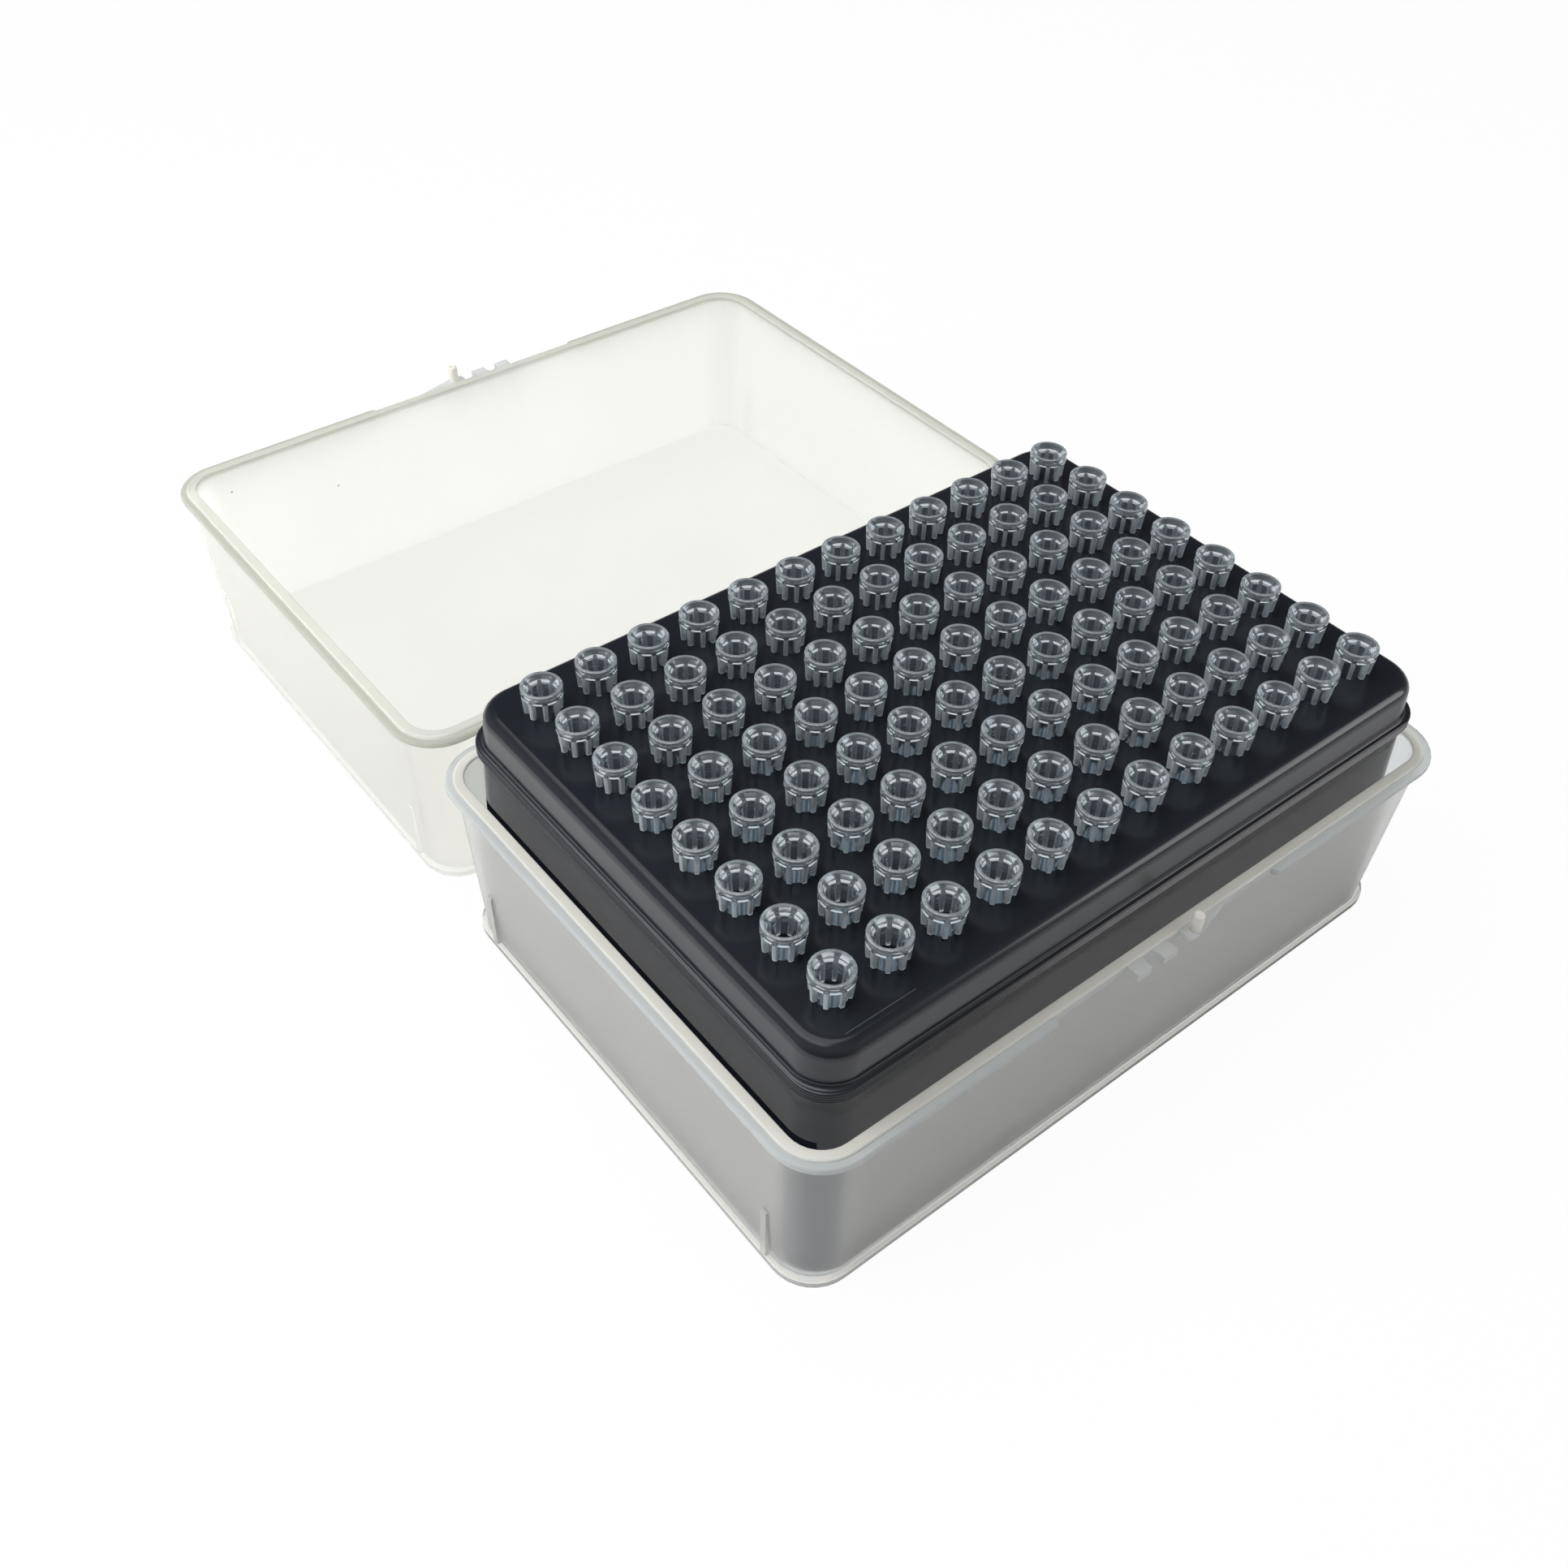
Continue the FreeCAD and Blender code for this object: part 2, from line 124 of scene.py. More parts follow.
def newMaterial(name):
    material = bpy.data.materials.new(name)
    material.use_nodes = True
    tree = material.node_tree
    tree.nodes.clear()
    output = tree.nodes.new("ShaderNodeOutputMaterial")
    return material, tree, output


# the room: even light with two dim sides, and plain white wherever the background shows
room = {
    "bright": 0.42,
    "dim": 0.12,
    "dimAxis": (0.68, 0.68, 0.28),
    "dimFrom": 0.25,
    "dimTo": 0.9,
    "floorColour": 0.80,
    "floorGlow": 0.96,
    "floorDrop": 0.05,
    "floorReach": 3,  # metres
}
white = (1.0, 1.0, 1.0, 1.0)


def whiteRays(tree):
    # one for rays from the camera, rays through plastic, and mirror rays that have been through plastic
    paths = addNode(tree, "ShaderNodeLightPath").outputs
    direct = maths(tree, "MAXIMUM", paths["Is Camera Ray"], paths["Is Transmission Ray"])
    inside = maths(tree, "GREATER_THAN", paths["Transmission Depth"], 0.5)
    mirrored = maths(tree, "MULTIPLY", paths["Is Glossy Ray"], inside)
    return maths(tree, "MAXIMUM", direct, mirrored)


def lightRoom():
    world = bpy.data.worlds.new("room")
    scene.world = world
    world.use_nodes = True
    tree = world.node_tree
    tree.nodes.clear()
    direction = addNode(tree, "ShaderNodeTexCoord").outputs["Generated"]
    facing = addNode(tree, "ShaderNodeVectorMath", {
        0: direction, 1: room["dimAxis"]}, operation="DOT_PRODUCT")
    along = maths(tree, "ABSOLUTE", facing.outputs["Value"])
    strength = ranged(
        tree, along, room["bright"], room["dim"], room["dimFrom"], room["dimTo"],
        interpolation_type="SMOOTHSTEP")
    soft = addNode(tree, "ShaderNodeBackground", {"Color": white, "Strength": strength})
    plain = addNode(tree, "ShaderNodeBackground", {"Color": white, "Strength": 1.0})
    pick = addNode(tree, "ShaderNodeMixShader", {
        0: whiteRays(tree), 1: soft.outputs[0], 2: plain.outputs[0]})
    addNode(tree, "ShaderNodeOutputWorld", {"Surface": pick.outputs[0]})


lamps = {
    "overhead": {"place": (-80, 190, 600), "aim": (0, 30, 20), "size": 500, "power": 2.5, "shines": True},
    "left": {"place": (-520, 200, 260), "aim": (0, 30, 20), "size": 420, "power": 3.1, "shines": False},
    "right": {"place": (420, -380, 260), "aim": (0, 0, 20), "size": 300, "power": 0.9, "shines": True},
}


def hangLamps():
    for name, spec in lamps.items():
        data = bpy.data.lights.new(name, "AREA")
        data.energy = spec["power"]
        data.size = spec["size"] * mm
        lamp = bpy.data.objects.new(name, data)
        lamp.location = Vector(spec["place"]) * mm
        beam = Vector(spec["aim"]) - Vector(spec["place"])
        lamp.rotation_euler = beam.to_track_quat("-Z", "Y").to_euler()
        lamp.visible_glossy = spec["shines"]
        lamp.visible_transmission = False
        bpy.context.collection.objects.link(lamp)


def layFloor():
    far, drop = room["floorReach"], -room["floorDrop"] * mm
    mesh = bpy.data.meshes.new("floor")
    corners = [(-far, -far, drop), (far, -far, drop), (far, far, drop), (-far, far, drop)]
    mesh.from_pydata(corners, [], [(0, 1, 2, 3)])
    floor = bpy.data.objects.new("floor", mesh)
    bpy.context.collection.objects.link(floor)
    material, tree, output = newMaterial("pale_floor")
    shade = room["floorColour"]
    matt = addNode(tree, "ShaderNodeBsdfDiffuse", {"Color": (shade, shade, shade, 1.0)})
    glow = addNode(tree, "ShaderNodeEmission", {"Color": white, "Strength": 1.0})
    share = maths(tree, "MULTIPLY", whiteRays(tree), room["floorGlow"])
    blend = addNode(tree, "ShaderNodeMixShader", {0: share, 1: matt.outputs[0], 2: glow.outputs[0]})
    tree.links.new(blend.outputs[0], output.inputs["Surface"])
    mesh.materials.append(material)
    return floor


lightRoom()
hangLamps()
floor = layFloor()
print("camera, lamps and floor ready")


# shapes, all drawn in millimetres
shaping = {
    "mergeWithin": 0.0005,
    "roundFrom": 0.9,  # a plate's edges that turn by more radians than this get rounded
    "roundSteps": 2,
    "smoothTo": 34.0,  # faces that turn by fewer degrees than this shade as one
}


def roundedLoop(halfX, halfY, corner, stops, turns=8):
    # points round a rounded rectangle, anticlockwise from the front left; stops are places along x
    across, along = halfX - corner, halfY - corner
    front = [-across] + list(stops["front"]) + [across]
    back = [across] + list(reversed(stops["back"])) + [-across]
    points = [(x, -halfY) for x in front]
    for centreX, centreY, start, side in (
        (across, -along, -90, [(halfX, -along), (halfX, 0.0), (halfX, along)]),
        (across, along, 0, [(x, halfY) for x in back]),
        (-across, along, 90, [(-halfX, along), (-halfX, 0.0), (-halfX, -along)]),
        (-across, -along, 180, []),
    ):
        for step in range(1, turns):
            turn = math.radians(start + 90 * step / turns)
            points.append((centreX + corner * math.cos(turn), centreY + corner * math.sin(turn)))
        points += side
    return points


def roundRings(profile, sides, place=(0.0, 0.0)):
    # rings about a standing axis; the profile gives each ring's radius and height
    turns = [math.tau * k / sides for k in range(sides)]
    return [
        [(place[0] + radius * math.cos(turn), place[1] + radius * math.sin(turn), height) for turn in turns]
        for radius, height in profile
    ]


def skin(rings, capped=True):
    # a closed mesh through rings of as many points each
    mesh = bmesh.new()
    rows = [[mesh.verts.new(point) for point in ring] for ring in rings]
    for low, high in zip(rows, rows[1:]):
        for k in range(len(low)):
            mesh.faces.new([low[k - 1], low[k], high[k], high[k - 1]])
    if capped:
        mesh.faces.new(rows[0])
        mesh.faces.new(rows[-1])
    bmesh.ops.remove_doubles(mesh, verts=mesh.verts, dist=shaping["mergeWithin"])
    bmesh.ops.recalc_face_normals(mesh, faces=mesh.faces)
    return mesh


def arc(centreX, centreY, radius, start, end, steps):
    # points of an arc, angles in degrees
    turns = [math.radians(start + (end - start) * k / steps) for k in range(steps + 1)]
    return [(centreX + radius * math.cos(turn), centreY + radius * math.sin(turn)) for turn in turns]


def plate(outline, low, high, axes, edge=0.0):
    # an outline pushed through from low to high, with rounded edges
    # axes names the outline's two axes and then the axis of the push
    mesh = bmesh.new()
    order = [axes.index(letter) for letter in "xyz"]
    rows = []
    for level in (low, high):
        rows.append([mesh.verts.new([(*point, level)[k] for k in order]) for point in outline])
    for k in range(len(outline)):
        mesh.faces.new([rows[0][k - 1], rows[0][k], rows[1][k], rows[1][k - 1]])
    mesh.faces.new(rows[0])
    mesh.faces.new(rows[1])
    bmesh.ops.recalc_face_normals(mesh, faces=mesh.faces)
    if edge:
        sharp = [line for line in mesh.edges if line.calc_face_angle() > shaping["roundFrom"]]
        bmesh.ops.bevel(
            mesh, geom=sharp, offset=edge, segments=shaping["roundSteps"], profile=0.5,
            affect="EDGES", clamp_overlap=True)
        bmesh.ops.recalc_face_normals(mesh, faces=mesh.faces)
    return mesh


def asObject(mesh, name, scale=mm):
    bmesh.ops.scale(mesh, vec=(scale, scale, scale), verts=mesh.verts)
    data = bpy.data.meshes.new(name)
    mesh.to_mesh(data)
    mesh.free()
    piece = bpy.data.objects.new(name, data)
    bpy.context.collection.objects.link(piece)
    return piece


def settle(piece):
    # the shape as its modifiers leave it, kept as a plain mesh
    evaluated = piece.evaluated_get(bpy.context.evaluated_depsgraph_get())
    data = bpy.data.meshes.new_from_object(evaluated)
    data.name = piece.name
    piece.modifiers.clear()
    piece.data = data


def combine(piece, others):
    # one closed shape out of several that overlap
    group = bpy.data.collections.new(piece.name + "_others")
    for other in others:
        group.objects.link(other)
    change = piece.modifiers.new("combine", "BOOLEAN")
    change.operand_type = "COLLECTION"
    change.collection = group
    change.operation = "UNION"
    change.solver = "EXACT"
    settle(piece)
    for other in others:
        bpy.data.objects.remove(other)
    bpy.data.collections.remove(group)


def smooth(piece):
    # smooth faces, with the sharp edges kept, and normals that follow the large faces
    mesh = bmesh.new()
    mesh.from_mesh(piece.data)
    for face in mesh.faces:
        face.smooth = True
    limit = math.radians(shaping["smoothTo"])
    for edge in mesh.edges:
        edge.smooth = edge.is_manifold and edge.calc_face_angle() < limit
    mesh.to_mesh(piece.data)
    mesh.free()
    weigh = piece.modifiers.new("weigh", "WEIGHTED_NORMAL")
    weigh.keep_sharp = True
    settle(piece)


# the two moulded halves: one shape, used as it is for the base and turned half round for the lid
half = {
    "rimWidth": 1.7,
    "rimRound": 0.2,
    "shoulder": 0.34,
    "lipReach": 1.15,
    "lipDrop": 0.35,
    "lipHeight": 1.1,
    "lipRound": 0.4,
    "lipRoot": 0.12,
    "lipEnd": 0.7,
    "lipEndSteps": (0.0, 0.08, 0.25, 0.5, 1.0),
    "wall": 1.5,
    "draft": 0.6,
    "footWall": 0.8,
    "floor": 1.2,
    "floorRound": 0.35,
    "flangeHeight": 1.15,
    "flangeReach": 0.7,
    "flangeRound": 0.13,
    "openCorner": 5.1,
    "latchReach": 2.1,
    "latchDrop": 0.2,
    "pegHeight": 3.0,
    "latchGap": 21.5,
    "hingePlace": 30.0,
    "hingeGap": 6.6,
    "underLip": 2.0,  # the wall has rings of points this far under the lip and over the flange
    "overFlange": 3.0,
    "darkFoot": 8.0,  # up to here over the flange the wall looks darker
}
half["front"] = -baseLow.y
half["openX"] = baseHigh.x - half["lipReach"] - half["rimWidth"]
half["openY"] = half["front"] - half["latchReach"] - half["rimWidth"]
half["rimTop"] = baseHigh.z - half["pegHeight"] + half["latchDrop"]
half["lipTop"] = half["rimTop"] - half["lipDrop"]
half["lipLow"] = half["lipTop"] - half["lipHeight"]
half["footReach"] = half["footWall"] - half["draft"]


def wallReach(z):
    # how far the drafted wall's outside stands out past the opening's edge at a height
    rise = (z - half["flangeHeight"]) / (half["rimTop"] - half["flangeHeight"])
    return half["footReach"] + (half["wall"] - half["footReach"]) * rise


def lipShare(x, y):
    # how much of the lip stands at a place on the rim: none in the gaps, and rounded ends beside them
    if abs(y) < half["openY"] - half["openCorner"]:
        return 1.0
    away = abs(x) - half["latchGap"] if y < 0 else abs(abs(x) - half["hingePlace"]) - half["hingeGap"]
    reach = min(max(away / half["lipEnd"], 0.0), 1.0)
    return math.sqrt(1.0 - (1.0 - reach) ** 2)


def lipStops():
    # the places along x where a ring needs points for the lip's rounded ends
    ends = [half["lipEnd"] * share for share in half["lipEndSteps"]]
    front = [half["latchGap"] + end for end in ends]
    back = [half["hingePlace"] - half["hingeGap"] - end for end in reversed(ends)]
    back += [half["hingePlace"] + half["hingeGap"] + end for end in ends]
    return {
        "front": [-x for x in reversed(front)] + [0.0] + front,
        "back": [-x for x in reversed(back)] + [0.0] + back,
    }


def trayRings():
    top, rim, lip = half["rimTop"], half["rimWidth"], half["lipReach"]
    lipTop, lipLow = half["lipTop"], half["lipLow"]
    inner, outer = half["openCorner"], half["openCorner"] + rim
    levels = []  # reach from the opening's edge, reach of the lip past that, height, corner
    floorIn, r = -half["draft"] * (1 - half["floor"] / top), half["floorRound"]
    for reach, z in arc(floorIn - r, half["floor"] + r, r, -90, 0, 5):
        levels.append((reach, 0.0, z, inner))
    r = half["rimRound"]
    for reach, z in arc(r, top - r, r, 180, 90, 3):
        levels.append((reach, 0.0, z, inner))
    # a soft shoulder runs from the rim down to the lip
    r = half["shoulder"]
    for reach, z in arc(rim - r, top - r, r, 90, 0, 4):
        levels.append((reach, 0.0, z, outer))
    levels.append((rim, half["lipRoot"], lipTop, outer))
    r = half["lipRound"]
    for part, z in arc(lip - r, lipTop - r, r, 90, 0, 4) + arc(lip - r, lipLow + r, r, 0, -90, 4):
        levels.append((rim, part, z, outer))
    levels.append((rim, 0.0, lipLow, outer))
    foot, r = half["flangeHeight"], half["flangeRound"]
    wall = [lipLow, lipLow - half["underLip"], foot + half["darkFoot"], foot + half["overFlange"], foot + r]
    for z in wall:
        levels.append((wallReach(z), 0.0, z, outer))
    levels.append((half["footReach"] + r, 0.0, foot, outer))
    edge = half["footReach"] + half["flangeReach"]
    for reach, z in arc(edge - r, foot - r, r, 90, 0, 3) + arc(edge - r, r, r, 0, -90, 3):
        levels.append((reach, 0.0, z, outer))
    stops = lipStops()
    rings = []
    for reach, part, z, corner in levels:
        across, along = half["openX"] + reach, half["openY"] + reach
        bare = roundedLoop(across, along, corner, stops)
        full = roundedLoop(across + part, along + part, corner + part, stops)
        ring = []
        for (x, y), (farX, farY) in zip(bare, full):
            share = lipShare(x, y)
            ring.append((x + (farX - x) * share, y + (farY - y) * share, z))
        rings.append(ring)
    return rings


latch = {
    "block": (-8.1, -0.3),
    "blockThick": 1.4,
    "tab": (2.1, 12.3),
    "tabThick": 0.8,
    "tabCorner": 0.9,
    "place": 4.2,
    "notchRadius": 1.2,
    "pegRadius": 0.9,
    "pegSides": 24,
    "pegFoot": 0.6,
    "pegEnd": ((0.97, 0.45), (0.85, 0.15), (0.6, 0.0), (0.35, 0.06), (0.12, 0.22)),  # radius share, drop
    "root": 0.8,
    "round": 0.14,
}


def latchPieces():
    front, top = -half["front"], half["rimTop"] - half["latchDrop"]
    rim = front + half["latchReach"]
    root = rim + half["rimWidth"] - latch["root"]
    middle = front + half["latchReach"] / 2
    left, right = latch["block"]
    notch = arc(-latch["place"], middle, latch["notchRadius"], 180, 0, 10)
    block = [(left, root), (left, front), (notch[0][0], front), *notch, (notch[-1][0], front)]
    block += [(right, front), (right, root)]
    near, far = latch["tab"]
    corner = latch["tabCorner"]
    bend = arc(near + corner, front + corner, corner, 180, 270, 5)
    tab = [(near, root), *bend, (latch["place"], front), (far, rim), (far, root)]
    r, low = latch["pegRadius"], top - latch["tabThick"] / 2
    peg = [(r * latch["pegFoot"], low), (r, low), (r, top)]
    peg += [(r * share, baseHigh.z - drop) for share, drop in latch["pegEnd"]]
    return [
        plate(block, top - latch["blockThick"], top, "xyz", edge=latch["round"]),
        plate(tab, top - latch["tabThick"], top, "xyz", edge=latch["round"]),
        skin(roundRings(peg, latch["pegSides"], (latch["place"], middle))),
    ]


hinge = {
    "axisY": lidPlace / 2,
    "axisLift": 0.1,
    "pinRadius": 1.0,
    "pinSides": 24,
    "fit": 0.05,
    "knuckle": 1.9,
    "knuckleFrom": -45,  # the arm's underside meets the knuckle at this angle
    "ear": 1.5,
    "clip": 6.4,
    "sideRoom": 0.3,
    "armDrop": 5.5,
    "mouth": 1.4,
    "root": 0.7,
    "round": 0.12,
}
hinge["axisZ"] = half["rimTop"] + hinge["axisLift"]


def hingePieces():
    # two ears with a pin on one side, and the clip that takes such a pin on the other
    y, z, r, start = hinge["axisY"], hinge["axisZ"], hinge["knuckle"], hinge["knuckleFrom"]
    root = half["openY"] + half["wall"] - hinge["root"]
    low, top = half["rimTop"] - hinge["armDrop"], half["lipTop"]
    arm, back = [(root, top), (root, low)], [(y - r, top)]
    solid = arm + arc(y, z, r, start, 180, 14) + back
    inner = hinge["clip"] / 2 + hinge["sideRoom"]
    pieces = []
    for place in (half["hingePlace"] - inner - hinge["ear"], half["hingePlace"] + inner):
        pieces.append(plate(solid, place, place + hinge["ear"], "yzx", edge=hinge["round"]))
    bore = hinge["pinRadius"] + hinge["fit"]
    slot = math.degrees(math.asin(hinge["mouth"] / 2 / bore))
    gape = math.degrees(math.asin(hinge["mouth"] / 2 / r))
    hook = arc(y, z, r, start, 90 - gape, 9) + arc(y, z, bore, 90 - slot, -270 + slot, 18)
    clip = arm + hook + arc(y, z, r, 90 + gape, 180, 5) + back
    place = -half["hingePlace"] - hinge["clip"] / 2
    pieces.append(plate(clip, place, place + hinge["clip"], "yzx", edge=hinge["round"]))
    sides = hinge["pinSides"]
    pin = arc(y, z, hinge["pinRadius"], 0, 360 - 360 / sides, sides - 1)
    place = half["hingePlace"] - inner - hinge["ear"] / 2
    pieces.append(plate(pin, place, place + 2 * inner + hinge["ear"], "yzx"))
    return pieces


wedge = {
    "place": 34.0,
    "width": 1.2,
    "top": 11.6,
    "reach": 0.35,
    "root": 0.35,
    "inset": 0.03,
    "sink": 0.3,
    "round": 0.12,
}


def wedgePieces():
    # thin upright ribs that stand on the foot flange at both ends
    face = half["openX"] + half["footReach"]
    inner, low = face - wedge["root"], face + half["flangeReach"] - wedge["inset"]
    high = half["openX"] + wallReach(wedge["top"]) + wedge["reach"]
    bottom, top = half["flangeHeight"] - wedge["sink"], wedge["top"]
    pieces = []
    for side in (-1, 1):
        outline = [(side * inner, bottom), (side * low, bottom), (side * high, top), (side * inner, top)]
        for place in (-wedge["place"], wedge["place"]):
            start, end = place - wedge["width"] / 2, place + wedge["width"] / 2
            pieces.append(plate(outline, start, end, "xzy", edge=wedge["round"]))
    return pieces


tray = asObject(skin(trayRings()), "base_shell")
extras = latchPieces() + hingePieces() + wedgePieces()
combine(tray, [asObject(mesh, f"extra_{k}") for k, mesh in enumerate(extras)])
smooth(tray)
lidPiece = bpy.data.objects.new("lid_shell", tray.data.copy())
lidPiece.data.name = "lid_shell"
bpy.context.collection.objects.link(lidPiece)
lidPiece.data.transform(Matrix.Translation((0, lidPlace * mm, 0)) @ Matrix.Rotation(math.pi, 4, "Z"))
print("halves:", len(tray.data.polygons), "faces each")


frosted = {
    "roughness": 0.26,
    "ior": 1.30,
    "shine": 0.3,
    "milk": 0.04,  # the share that spreads the light that comes through
    "lidMilk": 0.42,
    "haze": (0.95, 0.945, 0.90, 1.0),
    "hazeDepth": 120.0,
    "clouds": 38.0,
    "cloudDetail": 4.0,
    "cloudShade": 0.96,
    "grain": 900.0,
    "grainDetail": 3.0,
    "grainStrength": 0.05,
    "grainDepth": 0.0002,
    "speckGrid": 150.0,
    "speckSize": 0.035,
    "speckShare": 0.16,
    "speckColour": (0.42, 0.39, 0.34, 1.0),
}
# tint and see-through share: thin walls let most light through, the thick rim and the latch scatter more
frostedLooks = {
    "wall": (0.97, 0.965, 0.955, 0.825),
    "footWall": (0.78, 0.79, 0.78, 0.86),
    "lidWall": (1.0, 1.0, 0.98, 0.93),
    "lidRim": (0.68, 0.69, 0.635, 0.42),
    # painted shade: the base wall's rounded corners are darker and more see-through than its flat sides
    "corner": (0.88, 0.91, 0.925, 0.91),
    "rim": (0.83, 0.82, 0.765, 0.36),
    "lip": (0.75, 0.785, 0.79, 0.60),
    "flangeTop": (0.93, 0.90, 0.85, 0.42),
    # painted shade: the flange's side is much darker than its top
    "shadedFlangeSide": (0.54, 0.56, 0.55, 0.62),
    "wedge": (0.76, 0.76, 0.74, 0.66),
    "latch": (0.77, 0.79, 0.785, 0.55),
    "peg": (0.94, 0.92, 0.87, 0.42),
}
# how the places of the looks are told apart, in millimetres
zones = {
    "slack": 0.01,
    "pastRim": 0.05,
    "pastWall": 0.1,
    "rimReach": 1.0,  # past this the rim's look turns into the lip's
    "facingUp": 0.6,  # the least z of the normal on the flange's top
}


def mixed(near, far, share):
    share = min(max(share, 0.0), 1.0)
    return [a + (b - a) * share for a, b in zip(near, far)]


def reachOf(point):
    # how far a place lies outside the opening's edge, and whether it is at a corner
    corner = half["openCorner"]
    across, along = abs(point.x) - half["openX"] + corner, abs(point.y) - half["openY"] + corner
    if across > 0 and along > 0:
        return math.hypot(across, along) - corner, True
    return max(across, along) - corner, False


def lookAt(point, centre, normal, isLid):
    # the look of a face's corner, counted from the half's own middle with its latch towards -y
    looks, top, foot, slack = frostedLooks, half["rimTop"], half["flangeHeight"], zones["slack"]
    if abs(centre.y) > half["openY"] + half["rimWidth"] + zones["pastRim"]:
        if centre.y < 0 and abs(centre.x) < latch["tab"][1]:
            return looks["peg" if centre.z > top - half["latchDrop"] + zones["pastRim"] else "latch"]
        if centre.y > 0 and abs(abs(centre.x) - half["hingePlace"]) < half["hingeGap"]:
            return looks["latch"]
    onRim = centre.z > half["lipLow"] - slack
    if isLid:
        return looks["lidRim" if onRim else "lidWall"]
    reach, bent = reachOf(point)
    if onRim:
        if point.z < half["lipTop"] - slack:
            return looks["lip"]
        if reach > zones["rimReach"]:
            return mixed(looks["lip"], looks["rim"], (point.z - half["lipTop"]) / half["lipDrop"])
        return looks["rim"]
    centreReach = reachOf(centre)[0]
    # painted shade: the flange's side takes a much darker look than its top
    if centreReach > zones["pastWall"] and centre.z < foot + slack:
        return looks["flangeTop" if normal.z > zones["facingUp"] else "shadedFlangeSide"]
    if centreReach > wallReach(centre.z) + zones["pastWall"]:
        return looks["wedge"]
    wall = mixed(looks["footWall"], looks["wall"], (point.z - foot) / half["darkFoot"])
    # painted shade: the wall's rounded corners take the darker corner look
    return mixed(wall, looks["corner"], float(bent and point.z > foot - zones["pastWall"]))


def paintHalf(piece, isLid):
    # the lid is the same shape turned half round, so its places are turned back first
    side = -1.0 if isLid else 1.0
    middle = Vector((0.0, lidPlace if isLid else 0.0, 0.0))

    def ownPlace(place):
        own = (place / mm - middle) * side
        own.z *= side
        return own

    colours, milk = [], []
    for face in piece.data.polygons:
        centre = ownPlace(face.center)
        milky = isLid and centre.z < half["lipTop"]
        for index in face.vertices:
            colours += lookAt(ownPlace(piece.data.vertices[index].co), centre, face.normal, isLid)
            milk.append(frosted["lidMilk" if milky else "milk"])
    piece.data.attributes.new("look", "FLOAT_COLOR", "CORNER").data.foreach_set("color", colours)
    piece.data.attributes.new("milk", "FLOAT", "CORNER").data.foreach_set("value", milk)


def frostedMaterial():
    material, tree, output = newMaterial("frosted_plastic")
    place = addNode(tree, "ShaderNodeTexCoord").outputs["Object"]
    look = addNode(tree, "ShaderNodeAttribute", attribute_name="look")
    clouds = noise(tree, place, frosted["clouds"], frosted["cloudDetail"])
    shade = ranged(tree, clouds, frosted["cloudShade"], 1.0)
    tint = mixColours(tree, 1.0, look.outputs["Color"], shade, blend="MULTIPLY")
    # a few small dark specks lie on it
    cells = addNode(tree, "ShaderNodeTexVoronoi", {
        "Vector": place, "Scale": frosted["speckGrid"]}, feature="F1")
    parts = addNode(tree, "ShaderNodeSeparateColor", {0: cells.outputs["Color"]})
    rare = maths(tree, "LESS_THAN", parts.outputs[0], frosted["speckShare"])
    near = maths(tree, "LESS_THAN", cells.outputs["Distance"], frosted["speckSize"])
    speck = maths(tree, "MULTIPLY", rare, near)
    colour = mixColours(tree, speck, tint, frosted["speckColour"])
    grain = noise(tree, place, frosted["grain"], frosted["grainDetail"])
    shader = addNode(tree, "ShaderNodeBsdfPrincipled", {
        "Base Color": colour, "Roughness": frosted["roughness"], "IOR": frosted["ior"],
        "Specular IOR Level": frosted["shine"], "Transmission Weight": look.outputs["Alpha"],
        "Normal": relief(tree, grain, frosted["grainStrength"], frosted["grainDepth"])})
    milk = addNode(tree, "ShaderNodeAttribute", attribute_name="milk")
    spread = addNode(tree, "ShaderNodeBsdfTranslucent", {"Color": colour})
    body = addNode(tree, "ShaderNodeMixShader", {
        0: milk.outputs["Fac"], 1: shader.outputs["BSDF"], 2: spread.outputs[0]})
    haze = addNode(tree, "ShaderNodeVolumeAbsorption", {
        "Color": frosted["haze"], "Density": frosted["hazeDepth"]})
    tree.links.new(haze.outputs[0], output.inputs["Volume"])
    tree.links.new(body.outputs[0], output.inputs["Surface"])
    return material


frostedPlastic = frostedMaterial()
for piece, node, body in ((tray, "base_box", "base"), (lidPiece, "lid", "lid")):
    paintHalf(piece, body == "lid")
    piece.data.materials.clear()
    piece.data.materials.append(frostedPlastic)
    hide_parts(node)
    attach(piece, body)
print("halves done")


# the black rack
rack = {
    "deckThick": 2.0,
    "deckCorner": 5.7,
    "cornerSteps": 10,
    "innerCorner": 0.6,  # the corner shrinks by this share of how far a ring lies inside the deck's edge
    "edgeRound": 1.9,
    "band": 6.1,
    "bandDraft": 0.3,
    "bandShare": 0.7,
    "bandFoot": 0.6,
    "cove": 0.4,
    "ledge": 1.8,
    "ledgeReach": 1.1,
    "ledgeRound": 0.25,
    "grooves": 3,
    "grooveDepth": 0.16,
    "grooveHalf": 0.14,
    "skirtTop": 0.45,
    "skirtKnee": (0.06, 2.0),
    "skirtFoot": 1.5,
    "skirtFlare": 0.3,
    "wall": 1.5,
    "rows": 8,
    "socketRadius": 2.24,
    "socketSides": 28,
}
rack["halfX"] = rackHigh.x - rack["skirtFoot"]
rack["halfY"] = rackHigh.y - rack["skirtFoot"]


